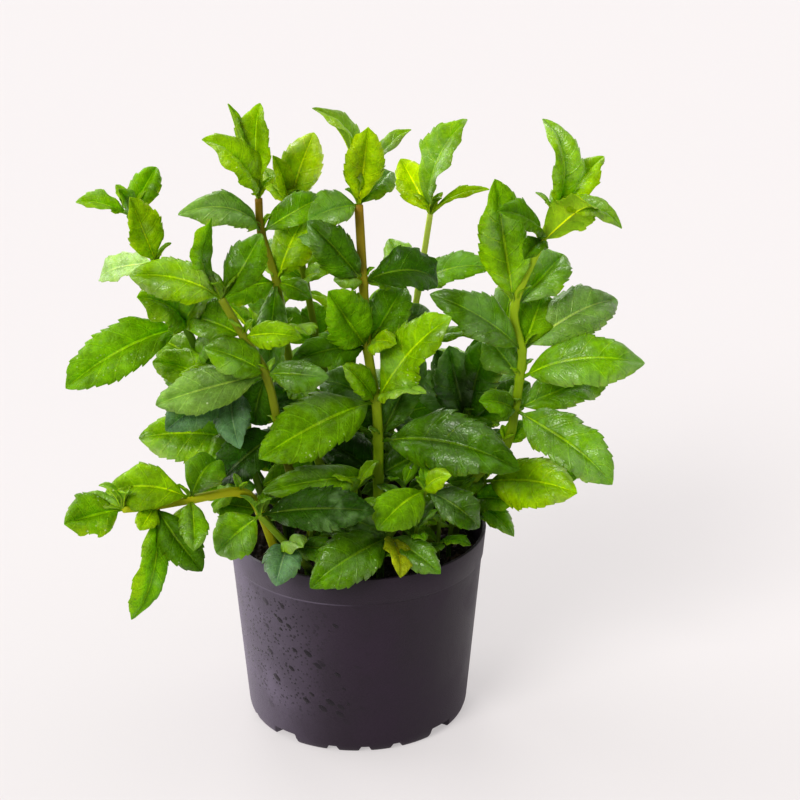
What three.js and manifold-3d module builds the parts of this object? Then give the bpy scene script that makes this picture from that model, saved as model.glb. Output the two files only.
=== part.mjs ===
// A mint plant in a plastic nursery pot, in millimetres, +Z up.
// The origin is the middle of the pot's foot, on the surface that it stands on, and -Y is the front.
// Every leafy shoot is one body: a square stem with its leaves fused to it. It stands in a hole in the soil.
import * as THREE from "three";
import { mergeVertices } from "three/addons/utils/BufferGeometryUtils.js";
import Module from "manifold-3d";

const wasm = await Module();
wasm.setup();

// Pot: a 13 cm nursery pot, 10 cm tall.
const POT_HEIGHT = 100;
const RIM_RADIUS = 65;
const FOOT_RADIUS = 54;
const WALL = 1.4;
const BAND_HEIGHT = 14; // the smooth band under the lip
const BAND_STEP = 0.6; // how far the band stands proud of the wall
const FLOOR_TOP = 7;
const FLOOR_THICKNESS = 1.5;
const FOOT_WIDTH = 6; // of the ring that the pot stands on
const RING_DRAFT = 1; // how far the ring's inner face leans in
const CORNER_HEIGHT = 7; // where the wall turns in to the foot
const CORNER_RADIUS = 56.2;
const CORNER_BULGE = { radius: 55.5, height: 2.6 }; // the middle of that rounded corner
const LIP_EASE = 0.5; // the bevel on the lip's outer edge
const FLOOR_CURVE = { width: 2.5, height: 3 }; // where the wall meets the floor inside
const POT_SIDES = 36;

// Drainage: notches through the foot ring, in four like quarters, and holes through the floor.
const WIDE_NOTCH = { width: 16, height: 5.2, angles: [49.5] };
const NARROW_NOTCH = { width: 7, height: 3, angles: [-12.5, 4.5, 21.5] };
const NOTCH_SLOPE = 1.6; // how much each side of a notch leans in towards its top
const QUARTERS = 4;
const DRAIN_HOLE = { radius: 3.5, ring: 34, count: 6 };
const CENTRE_HOLE_RADIUS = 5;
const HOLE_SIDES = 10;

// Soil: a plug that fills the pot, with a lumpy top.
const CLEARANCE = 0.3; // between touching pieces
const SOIL_TOP = 88;
const SOIL_RINGS = 4;
const SOIL_SIDES = 24;
const SOIL_INSET = { wall: 0.5, floor: 4, height: 8 }; // room for the facets of the two round walls
const LUMPS = { height: 1.2, coarse: 0.2, fine: 0.4, share: 0.6 }; // waves in radians per millimetre
const SOIL_DIP = 3; // at the wall

// Stems
const STEM_FOOT = 72; // the height of a stem's buried end
const STEM_BEND = 92; // where a stem starts to lean
const HOLE_TOP = 96;
const STEM_TIP = 0.8; // a stem's thickness at its tip, as a share of that at the soil

// Leaves
const BLADE_THICKNESS = 0.8;
const PETIOLE = { width: 2, thickness: 1.5, length: 0.09 }; // its length is a share of the leaf's
const FOLD = 12; // the angle in degrees by which each half of a grown blade rises from the midrib
const NOTCH_DEPTH = 0.14; // of the teeth, as a share of the half width
const TOOTH_LEAD = 0.25; // how far a tooth's point lies before the notch after it, in teeth
const TIP_HALF_WIDTH = 0.5;
const WIDEST = 0.48; // where a blade is widest, as a share of its length
const ROUNDNESS = { base: 0.78, tip: 0.8 }; // powers: a smaller one makes a blunter end
const PAIR_BOW = 0.1; // how high the leaves of a pair bow, as a share of their length
const TEETH = { small: 2, medium: 3, large: 4 }; // a side, the leaf's own point counted
const MEDIUM_LENGTH = 38;
const LARGE_LENGTH = 56;

// Each shoot lists its nodes from the soil up, and a node starts with its place [x, y, z].
// Then come its leaves, or the turn, length, width and rise of one pair of opposite leaves.
// A leaf is its tip's place x, y, z, its width, the bearing that its upper side faces, how high it bows
// and, where the leaf is young, the angle to which it is folded. Bearings are in degrees, 0 is the front
// and 90 the right. A pair's turn is the direction of its first leaf, in degrees from +X towards +Y.
const SHOOTS = {
  tall_left: { radius: 2.1, nodes: [
    [[-12, 14, 96]],
    [[-20, 17, 130]],
    [[-29, 19, 162], 100, 34, 20, 0.3],
    [[-36, 20, 194], [-54, 46, 212, 20, 20, 4], [-22, -14, 206, 17, 190, 4]],
    [[-39, 20, 221], [-65, 0, 219, 19, 10, 3], [-22, 32, 255, 24, -10, 2], [-43, -9, 181, 17, 0, 6]],
    [[-46, 20, 247], [-84, -5, 264, 21, 50, 10], [-17, 36, 260, 17, 40, 5]],
    [[-47, 20, 264], [-72, 2, 299, 27, 45, 5, 20], [-61, 26, 310, 14, 80, -1, 35],
      [-46, 31, 309, 24, -35, 1, 30]],
  ] },
  back_left: { radius: 1.8, nodes: [
    [[0, 40, 96]],
    [[-10, 44, 135]],
    [[-20, 48, 178], [-50, 62, 188, 22, 0, 4], [12, 60, 190, 22, 0, 4]],
    [[-26, 48, 212], [-54, 70, 222, 20, 20, 4], [-15, 30, 222, 16, -20, 3], [-4, 62, 232, 20, 0, 3]],
    [[-33, 50, 251], [-21, 57, 287, 23, 10, 3, 18], [-47, 60, 268, 14, 20, 0, 30],
      [-41, 44, 279, 13, 10, 0, 30]],
  ] },
  centre: { radius: 2.4, nodes: [
    [[11, -10, 96]],
    [[11, -12, 131], [-44, -56, 142, 20, 60, 4]],
    [[11, -12, 150], [79, -45, 149, 34, 10, 8]],
    [[10, -12, 171], [-45, -55, 159, 34, -8, 5], [46, -35, 223, 32, -25, 3], [34, -44, 188, 17, 30, 3]],
    [[6, -8, 197], [-12, -30, 234, 28, -15, 0], [-30, -28, 198, 20, 10, 5], [36, 22, 206, 22, 20, 4]],
    [[4, -5, 230], [40, 4, 227, 24, 0, 15], [-22, -18, 265, 22, -10, 3], [-28, 16, 246, 20, 30, 4]],
    [[2, 0, 267], [-19, -12, 318, 22, 70, 5, 25], [7, -20, 311, 22, 10, 0, 25],
      [27, 12, 301, 14, -40, 7, 35], [18, 22, 277, 19, -10, 1, 25], [-22, -8, 262, 21, 15, 4, 20]],
  ] },
  back_right: { radius: 1.7, nodes: [
    [[12, 48, 96]],
    [[18, 54, 135]],
    [[25, 60, 168], 0, 38, 22, 0.3],
    [[31, 63, 202], [70, 45, 221, 18, 0, 11], [16, 86, 222, 18, 0, 3]],
    [[37, 65, 242], [55, 60, 293, 27, -50, 6, 20], [22, 76, 268, 20, -10, 0, 15],
      [66, 46, 261, 9, 40, 3, 30]],
  ] },
  tall_right: { radius: 2.2, nodes: [
    [[36, -2, 96]],
    [[56, -5, 124]],
    [[74, -7, 146]],
    [[78, -8, 165], [124, -40, 139, 30, 10, 6], [126, 16, 174, 26, -10, 3]],
    [[80, -8, 181], [140, -15, 192, 30, 20, 12]],
    [[81, -8, 196], [36, -14, 227, 24, -60, 8], [129, 20, 212, 28, 0, 5]],
    [[77, -6, 218], [66, -20, 286, 29, 12, -1], [102, 22, 235, 27, -10, 2]],
    [[89, -5, 250], [67, -34, 275, 20, 60, 5, 25], [110, -32, 277, 22, 50, 3, 15],
      [80, -30, 250, 13, 0, 3, 25]],
    [[95, -5, 264], [89, 2, 309, 22, 40, 8, 25], [119, 8, 289, 24, -40, 1, 20],
      [126, -20, 262, 15, 30, 10, 25]],
  ] },
  far_left: { radius: 1.9, nodes: [
    [[-34, 8, 96]],
    [[-52, 5, 128]],
    [[-68, 2, 160], [-96, 30, 172, 20, 0, 4], [-42, 24, 174, 18, 0, 3]],
    [[-75, 0, 185], [-100, 18, 192, 20, 0, 3]],
    [[-82, -5, 207], [-139, -25, 183, 28, 15, 16], [-102, -32, 232, 28, 0, 4],
      [-70, 28, 222, 20, 0, 3]],
    [[-95, -8, 241], [-104, -26, 279, 20, 10, 1, 15], [-126, 20, 223, 16, 0, 1]],
    [[-107, -5, 264], [-131, -14, 273, 13, 60, 1, 25], [-95, 10, 283, 17, 10, 2, 25],
      [-110, -20, 281, 12, 0, 1, 25]],
  ] },
  left: { radius: 2.0, nodes: [
    [[-18, -25, 96]],
    [[-30, -30, 135]],
    [[-36, -32, 163], [-65, -46, 142, 25, 0, 6]],
    [[-42, -35, 194], [-94, -44, 182, 24, 30, 6], [-70, -46, 212, 22, 20, 3]],
    [[-52, -35, 213], [-24, -50, 218, 16, 0, 3]],
    [[-62, -35, 232], [-65, -42, 274, 18, 50, -10, 15], [-43, -25, 261, 22, 0, 0, 20],
      [-104, -42, 246, 24, 10, 8]],
  ] },
  left_low: { radius: 1.7, nodes: [
    [[-40, -12, 96]],
    [[-48, -12, 125], [-78, -34, 132, 18, 0, 4], [-22, -2, 134, 16, 0, 3]],
    [[-55, -13, 150], [-105, -25, 157, 30, 0, 5]],
    [[-60, -15, 178], [-90, -42, 168, 24, 0, 4], [-54, -52, 163, 20, -10, 3],
      [-84, -28, 191, 20, 0, 3]],
  ] },
  lower_left: { radius: 1.9, nodes: [
    [[-38, -34, 96]],
    [[-46, -46, 128]],
    [[-54, -60, 144], [-66, -38, 126, 16, 0, 2]],
    [[-76, -75, 147], [-64, -60, 160, 22, 0, 11], [-116, -76, 150, 24, 0, 15],
      [-84, -86, 122, 18, 30, 1], [-73, -102, 133, 15, 180, 2]],
    [[-92, -82, 147], [-104, -94, 94, 19, 60, 8], [-70, -96, 120, 20, 0, 1],
      [-98, -96, 141, 12, 0, 1]],
    [[-106, -90, 149], [-132, -100, 146, 25, 0, 0], [-123, -88, 156, 8, 0, 2]],
  ] },
  front_left: { radius: 1.6, nodes: [
    [[-20, -50, 96]],
    [[-32, -56, 114], [-37, -75, 102, 20, 0, 6], [-6, -60, 112, 14, 0, 3]],
    [[-45, -58, 131], [10, -75, 141, 24, -10, 4], [-66, -62, 113, 25, 20, 3]],
  ] },
  front: { radius: 1.7, nodes: [
    [[12, -36, 96]],
    [[16, -42, 112], [-21, -73, 100, 28, 10, 8], [22, -70, 104, 16, 40, 4], [41, -66, 104, 18, 0, 4]],
    [[34, -40, 136], [11, -72, 130, 24, 0, 3], [60, -46, 119, 20, 0, 4]],
  ] },
  right_low: { radius: 1.7, nodes: [
    [[50, 8, 96]],
    [[58, 6, 110], [78, -22, 103, 13, 0, 2]],
    [[64, 2, 122], [108, -30, 130, 31, 0, 3], [112, 2, 126, 20, 0, 4]],
  ] },
  dark_right: { radius: 1.9, nodes: [
    [[34, 24, 96]],
    [[44, 24, 125], -20, 36, 20, 0.5],
    [[56, 22, 144], [46, 14, 190, 26, 0, 1], [66, 8, 196, 26, -20, 1], [88, 40, 160, 22, 0, 4],
      [30, 44, 164, 22, 0, 4]],
  ] },
  back_low: { radius: 1.8, nodes: [
    [[-24, 36, 96]],
    [[-34, 50, 122], 100, 32, 20, 0.4],
    [[-44, 62, 148], 120, 42, 24, 0.3],
    [[-54, 72, 174], 40, 32, 20, 0.9],
  ] },
  back_middle: { radius: 1.8, nodes: [
    [[-8, 54, 96]],
    [[-6, 62, 116], 20, 28, 18, 0.1],
    [[-4, 70, 146], 120, 36, 22, 0.3],
    [[-2, 78, 170], 20, 28, 18, 1.0],
  ] },
  side_right: { radius: 1.8, nodes: [
    [[30, 42, 96]],
    [[46, 56, 120], 60, 34, 20, 0],
    [[62, 66, 146], -60, 36, 24, 0.3],
    [[74, 72, 168], 70, 32, 18, 1.0],
  ] },
};

// A closed mesh made into a solid that can be joined and cut.
function solidOf(geometry) {
  const bare = (geometry.index ? geometry.toNonIndexed() : geometry).clone();
  bare.deleteAttribute("normal");
  bare.deleteAttribute("uv");
  const merged = mergeVertices(bare, 1e-4);
  return new wasm.Manifold(new wasm.Mesh({
    numProp: 3,
    vertProperties: merged.attributes.position.array,
    triVerts: new Uint32Array(merged.index.array),
  }));
}

// A solid made back into a named mesh.
function meshOf(name, solid, material) {
  const { vertProperties, triVerts } = solid.getMesh();
  const geometry = new THREE.BufferGeometry();
  geometry.setAttribute("position", new THREE.BufferAttribute(vertProperties, 3));
  geometry.setIndex(new THREE.BufferAttribute(triVerts, 1));
  geometry.computeVertexNormals();
  const mesh = new THREE.Mesh(geometry, material);
  mesh.name = name;
  return mesh;
}

// A closed skin over rings of points, all with the same count, that run anticlockwise seen from the far end.
// flips names the columns whose quads are split along the other diagonal.
function loft(rings, flips = []) {
  const count = rings[0].length;
  const positions = rings.flat().flatMap((point) => [point.x, point.y, point.z]);
  const index = [];
  for (let ring = 0; ring + 1 < rings.length; ring++) {
    for (let column = 0; column < count; column++) {
      const a = ring * count + column;
      const b = ring * count + (column + 1) % count;
      const c = a + count;
      const d = b + count;
      index.push(...(flips.includes(column) ? [a, b, c, b, d, c] : [a, b, d, a, d, c]));
    }
  }
  const last = (rings.length - 1) * count;
  for (let column = 1; column + 1 < count; column++) {
    index.push(0, column + 1, column);
    index.push(last, last + column, last + column + 1);
  }
  const geometry = new THREE.BufferGeometry();
  geometry.setAttribute("position", new THREE.Float32BufferAttribute(positions, 3));
  geometry.setIndex(index);
  return solidOf(geometry);
}

// The outer radius of the pot's wall at a height, under the band.
function wallRadius(z) {
  const share = (z - CORNER_HEIGHT) / (POT_HEIGHT - CORNER_HEIGHT);
  return THREE.MathUtils.lerp(CORNER_RADIUS, RIM_RADIUS - BAND_STEP, share);
}

function potShell() {
  const bandFoot = POT_HEIGHT - BAND_HEIGHT;
  const inner = CORNER_RADIUS - WALL;
  const profile = [
    [0, FLOOR_TOP - FLOOR_THICKNESS],
    [FOOT_RADIUS - FOOT_WIDTH - RING_DRAFT, FLOOR_TOP - FLOOR_THICKNESS],
    [FOOT_RADIUS - FOOT_WIDTH, 0],
    [FOOT_RADIUS, 0],
    [CORNER_BULGE.radius, CORNER_BULGE.height],
    [CORNER_RADIUS, CORNER_HEIGHT],
    [wallRadius(bandFoot), bandFoot],
    [wallRadius(bandFoot) + BAND_STEP, bandFoot + BAND_STEP],
    [RIM_RADIUS, POT_HEIGHT - LIP_EASE],
    [RIM_RADIUS - LIP_EASE, POT_HEIGHT],
    [RIM_RADIUS - WALL, POT_HEIGHT],
    [wallRadius(bandFoot) - WALL, bandFoot],
    [inner, FLOOR_TOP + FLOOR_CURVE.height],
    [inner - FLOOR_CURVE.width, FLOOR_TOP],
    [0, FLOOR_TOP],
  ];
  const points = profile.map(([r, z]) => new THREE.Vector2(r, z));
  return solidOf(new THREE.LatheGeometry(points, POT_SIDES).rotateX(Math.PI / 2));
}

// A wedge that cuts one notch through the foot ring, facing +X before it is turned.
function notchCutter({ width, height }, angle) {
  const below = -height;
  const outline = new THREE.Shape([
    new THREE.Vector2(-width / 2, below),
    new THREE.Vector2(width / 2, below),
    new THREE.Vector2(width / 2, 0),
    new THREE.Vector2(width / 2 - NOTCH_SLOPE, height),
    new THREE.Vector2(-width / 2 + NOTCH_SLOPE, height),
    new THREE.Vector2(-width / 2, 0),
  ]);
  const start = FOOT_RADIUS - 1.5 * FOOT_WIDTH;
  const geometry = new THREE.ExtrudeGeometry(outline, { depth: 2.5 * FOOT_WIDTH, bevelEnabled: false });
  geometry.rotateX(Math.PI / 2).rotateZ(Math.PI / 2).translate(start, 0, 0);
  return solidOf(geometry.rotateZ(THREE.MathUtils.degToRad(angle)));
}

// An upright cylinder through the floor.
function holeCutter(radius, x, y) {
  const geometry = new THREE.CylinderGeometry(radius, radius, FLOOR_TOP * 2, HOLE_SIDES).rotateX(Math.PI / 2);
  return solidOf(geometry.translate(x, y, FLOOR_TOP));
}

function pot() {
  let shell = potShell();
  for (const notch of [WIDE_NOTCH, NARROW_NOTCH]) {
    for (let quarter = 0; quarter < QUARTERS; quarter++) {
      for (const angle of notch.angles) {
        shell = shell.subtract(notchCutter(notch, angle + (quarter * 360) / QUARTERS));
      }
    }
  }
  shell = shell.subtract(holeCutter(CENTRE_HOLE_RADIUS, 0, 0));
  for (let hole = 0; hole < DRAIN_HOLE.count; hole++) {
    const angle = ((hole + 0.5) * 2 * Math.PI) / DRAIN_HOLE.count;
    const [x, y] = [Math.cos(angle), Math.sin(angle)].map((part) => part * DRAIN_HOLE.ring);
    shell = shell.subtract(holeCutter(DRAIN_HOLE.radius, x, y));
  }
  return shell;
}

// The soil's height at a place: a few crossed waves, lowest at the pot's wall.
function soilHeight(x, y) {
  const { height, coarse, fine, share } = LUMPS;
  const lumps = Math.sin(x * coarse + 1) * Math.cos(y * coarse) + share * Math.sin((x - y) * fine);
  return SOIL_TOP + height * lumps - SOIL_DIP * (Math.hypot(x, y) / RIM_RADIUS) ** 4;
}

function soilPlug() {
  const bottom = FLOOR_TOP + CLEARANCE;
  const ring = (radius, height) => Array.from({ length: SOIL_SIDES }, (_, side) => {
    const angle = (side * 2 * Math.PI) / SOIL_SIDES;
    const [x, y] = [Math.cos(angle) * radius, Math.sin(angle) * radius];
    return new THREE.Vector3(x, y, height ?? soilHeight(x, y));
  });
  const inside = (z) => wallRadius(z) - WALL - CLEARANCE - SOIL_INSET.wall;
  const shoulder = bottom + SOIL_INSET.height;
  const rings = [ring(inside(bottom) - SOIL_INSET.floor, bottom), ring(inside(shoulder), shoulder)];
  for (let step = 0; step < SOIL_RINGS; step++) {
    rings.push(ring(inside(SOIL_TOP) * (1 - step / SOIL_RINGS)));
  }
  return loft(rings);
}

// The square section of a stem, centred on a point and square to its direction.
function stemRing(centre, direction, radius) {
  const side = new THREE.Vector3(0, 1, 0).addScaledVector(direction, -direction.y).normalize();
  const other = new THREE.Vector3().crossVectors(direction, side);
  return [[1, 1], [-1, 1], [-1, -1], [1, -1]].map(([a, b]) => centre.clone()
    .addScaledVector(side, a * radius).addScaledVector(other, b * radius));
}

// The straight foot of a stem and, a little wider and deeper, the hole that it stands in.
function stemFoot([x, y], radius, gap, top) {
  const up = new THREE.Vector3(0, 0, 1);
  return [STEM_FOOT - gap, top].map((z) => stemRing(new THREE.Vector3(x, y, z), up, radius + gap));
}

function stem({ radius, nodes }) {
  const places = nodes.map(([place]) => new THREE.Vector3(...place));
  const line = new THREE.CatmullRomCurve3(places, false, "catmullrom", 0.5);
  const steps = 2 * (nodes.length - 1);
  const rings = stemFoot(nodes[0][0], radius, 0, STEM_BEND);
  for (let step = 1; step <= steps; step++) {
    const share = step / steps;
    const thinned = radius * THREE.MathUtils.lerp(1, STEM_TIP, share);
    rings.push(stemRing(line.getPoint(share), line.getTangent(share), thinned));
  }
  return loft(rings);
}

// Half a leaf's width along its blade, 0 at both ends and 1 where it is widest.
function bladeShape(share) {
  return (share / WIDEST) ** ROUNDNESS.base * ((1 - share) / (1 - WIDEST)) ** ROUNDNESS.tip;
}

// The stations along a leaf as [share of its length, half width, thickness].
function leafStations(length, width) {
  const size = length > LARGE_LENGTH ? "large" : length > MEDIUM_LENGTH ? "medium" : "small";
  const teeth = TEETH[size];
  const blade = (share, trim) => [
    PETIOLE.length + (1 - PETIOLE.length) * share,
    Math.max(0.5 * width * bladeShape(share) * trim, TIP_HALF_WIDTH),
    BLADE_THICKNESS,
  ];
  const stations = [
    [0, PETIOLE.width / 2, PETIOLE.thickness],
    [PETIOLE.length, PETIOLE.width / 2, PETIOLE.thickness],
  ];
  for (let tooth = 1; tooth < teeth; tooth++) {
    stations.push(blade((tooth - TOOTH_LEAD) / teeth, 1));
    stations.push(blade(tooth / teeth, 1 - NOTCH_DEPTH));
  }
  stations.push(blade(1, 1));
  return stations;
}

// A leaf: rings of six points, three on the upper face and three on the lower, along a bowed midrib.
function leaf(base, [x, y, z, width, bearing, bow, fold = FOLD]) {
  const chord = new THREE.Vector3(x, y, z).sub(base);
  const length = chord.length();
  const along = chord.clone().normalize();
  const facing = THREE.MathUtils.degToRad(bearing);
  const up = new THREE.Vector3(Math.sin(facing), -Math.cos(facing), 1).projectOnPlane(along).normalize();
  const across = new THREE.Vector3().crossVectors(up, along);
  const [out, raised] = [Math.cos, Math.sin].map((part) => part(THREE.MathUtils.degToRad(fold)));
  const rings = leafStations(length, width).map(([share, half, thickness]) => {
    const slope = (4 * bow * (1 - 2 * share)) / length;
    const normal = up.clone().addScaledVector(along, -slope).normalize();
    const middle = base.clone().addScaledVector(chord, share)
      .addScaledVector(up, 4 * bow * share * (1 - share));
    const point = (side, face) => middle.clone()
      .addScaledVector(across, side * half * out)
      .addScaledVector(normal, Math.abs(side) * half * raised + (face * thickness) / 2);
    return [point(1, 1), point(0, 1), point(-1, 1), point(-1, -1), point(0, -1), point(1, -1)];
  });
  return loft(rings, [1, 4]);
}

// Two opposite leaves that both face their stem.
function pair([x, y, z], turn, length, width, rise) {
  return [turn, turn + 180].map((direction) => {
    const angle = THREE.MathUtils.degToRad(direction);
    const tip = [x + length * Math.cos(angle), y + length * Math.sin(angle), z + length * rise];
    return [...tip, width, direction - 90, PAIR_BOW * length];
  });
}

// Fills the closed pockets that are left where leaves cross beside a stem.
function withoutPockets(solid) {
  return solid.decompose().reduce((outer, piece) => (piece.volume() > outer.volume() ? piece : outer));
}

function shoot(plan) {
  let body = stem(plan);
  for (const [place, ...rest] of plan.nodes) {
    const leaves = typeof rest[0] === "number" ? pair(place, ...rest) : rest;
    for (const plannedLeaf of leaves) {
      body = body.add(leaf(new THREE.Vector3(...place), plannedLeaf));
    }
  }
  return withoutPockets(body);
}

const plastic = new THREE.MeshStandardMaterial({ color: 0x453c48, roughness: 0.55, metalness: 0 });
const earth = new THREE.MeshStandardMaterial({ color: 0x241a14, roughness: 1, metalness: 0 });
const foliage = new THREE.MeshStandardMaterial({ color: 0x4c8a0a, roughness: 0.45, metalness: 0 });

const plant = new THREE.Group();
plant.add(meshOf("pot", pot(), plastic));

let soil = soilPlug();
for (const [name, plan] of Object.entries(SHOOTS)) {
  soil = soil.subtract(loft(stemFoot(plan.nodes[0][0], plan.radius, CLEARANCE, HOLE_TOP)));
  plant.add(meshOf(`shoot_${name}`, shoot(plan), foliage));
}
plant.add(meshOf("soil", soil, earth));

export default plant;
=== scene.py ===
"""A mint plant in a plastic nursery pot.

The frame gives the box: metres, the origin under the middle of the pot's foot, the front towards -Y, and
+Z up. Every form is worked out in millimetres, as the part's own are, and goes into its mesh in metres.
"""

import math

import bpy
import numpy as np
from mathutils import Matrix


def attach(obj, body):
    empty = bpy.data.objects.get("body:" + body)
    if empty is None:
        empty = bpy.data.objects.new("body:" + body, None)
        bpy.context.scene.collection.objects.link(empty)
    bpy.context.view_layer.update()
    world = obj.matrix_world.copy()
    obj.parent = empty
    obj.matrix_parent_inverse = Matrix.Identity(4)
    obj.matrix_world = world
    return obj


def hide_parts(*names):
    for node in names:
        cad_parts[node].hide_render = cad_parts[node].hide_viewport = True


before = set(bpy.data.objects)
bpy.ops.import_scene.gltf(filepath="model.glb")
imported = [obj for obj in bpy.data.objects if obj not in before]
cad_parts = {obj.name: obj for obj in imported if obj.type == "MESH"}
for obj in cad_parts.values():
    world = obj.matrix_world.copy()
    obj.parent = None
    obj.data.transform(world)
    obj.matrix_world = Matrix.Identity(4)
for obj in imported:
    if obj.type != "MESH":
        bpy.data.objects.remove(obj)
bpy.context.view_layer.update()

MM = 0.001

# Pot, in millimetres
POT_HEIGHT = 100
RIM_RADIUS = 65
FOOT_RADIUS = 54
WALL = 1.4
BAND_FOOT = 86
BAND_STEP = 0.6
FLOOR_TOP = 7
FLOOR_UNDER = 5.5
FOOT_INSIDE = 48
CORNER_HEIGHT = 7
CORNER_RADIUS = 56.2
CORNER_CONTROL = (55.9, 1.7)  # radius and height of the corner curve's middle point
LIP_EASE = 0.5
BAND_TOP = 93  # from here the band leans out to the rim

# Notches through the foot: middle and half width in degrees, then height. They repeat four times round.
NOTCHES = [(49.5, 8.4, 5.2), (-12.5, 3.7, 3), (4.5, 3.7, 3), (21.5, 3.7, 3)]
NOTCH_SLOPE = 1.8  # degrees from a notch's foot to its full height
NOTCH_REPEAT = 90  # degrees
FLOOR_STEPS = 8  # points along each side of a sector of the floor
DRAIN_HOLES = 6
DRAIN_RADIUS = 3.5
DRAIN_RING = 34
CENTRE_HOLE = 5

SOIL_TOP = 88
SOIL_FOOT = 7.3
SOIL_GAP = 0.3
SOIL_BEVEL = (3, 5)  # how far in and how far up the plug's lower edge is cut
SOIL_RINGS, SOIL_STEPS = 80, 240
SOIL_HUMP = 1.2  # height of the low humps
SOIL_WAVES, SOIL_CRUMB = 40, 0.24  # how many waves make the crumbs, and their first height

# Stems, in millimetres, and how thin they are at the top
STEM_FOOT = 72
STEM_BEND = 92
STEM_TIP = 0.8
STEM_FULL = 1.15  # the skin stands a little outside the part's stem
STEM_SIDE = 0.97  # from the stem's middle to its sides, as a share of the half thickness
STEM_JOINT = 0.16  # how much thicker a stem is at a node, as a share
STEM_SIDES, STEM_STEPS = 16, 10  # points round a stem, and along it from node to node

# Leaves
PETIOLE = 0.09  # share of the leaf's length
FOLD = 12  # degrees
WIDEST = 0.48  # share of the blade
ROUND_BASE, ROUND_TIP = 0.78, 0.8  # powers: a smaller one makes a blunter end
PAIR_BOW = 0.1
TOOTH = 4.6  # millimetres of margin
TOOTH_DEPTH, TOOTH_LEAN = 0.095, 0.4  # shares of the half width and of the tooth
VEIN_SWELL = 0.032  # share of the leaf's width that the skin swells between side veins
SKIN, RIB, RIB_WIDTH = 0.3, 0.8, 0.8  # thickness of blade, how far its midrib stands out, its half width
SKIN_RISE = 0.15  # how far the upper skin stands over the leaf's middle
FOLD_SOFT, FOLD_DIP = 0.004, 0.063  # round off the fold along the midrib
WAVE, FRILL = 0.065, 0.05  # shares of the leaf's width that its sides and its margin go up and down
YOUNG_OUT, YOUNG_UP, YOUNG_WIDTH, YOUNG_FOLD = 0.62, 0.78, 0.52, 24  # shares of the length, degrees
SMALL_LEAF, FULL_LEAF, LONG_LEAF = 18, 32, 45  # lengths where a leaf gets a finer grid or more veins
FRONT, FRONT_SHARE = -100, 0.5  # leaf margins in front of this y are pressed back, into the part's box
FOLIAGE_CREASE = 75  # degrees between two faces from which their edge is sharp
FORK_LEAVES, TIP_LEAVES = (2, 11), (3, 15)  # how many young leaves a fork and a tip have, how long

# Seeds of the random draws. A shoot adds its place in the order below.
SHOOT_SEED, SPROUT_SEED, SOIL_SEED = 100, 31, 7

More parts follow.
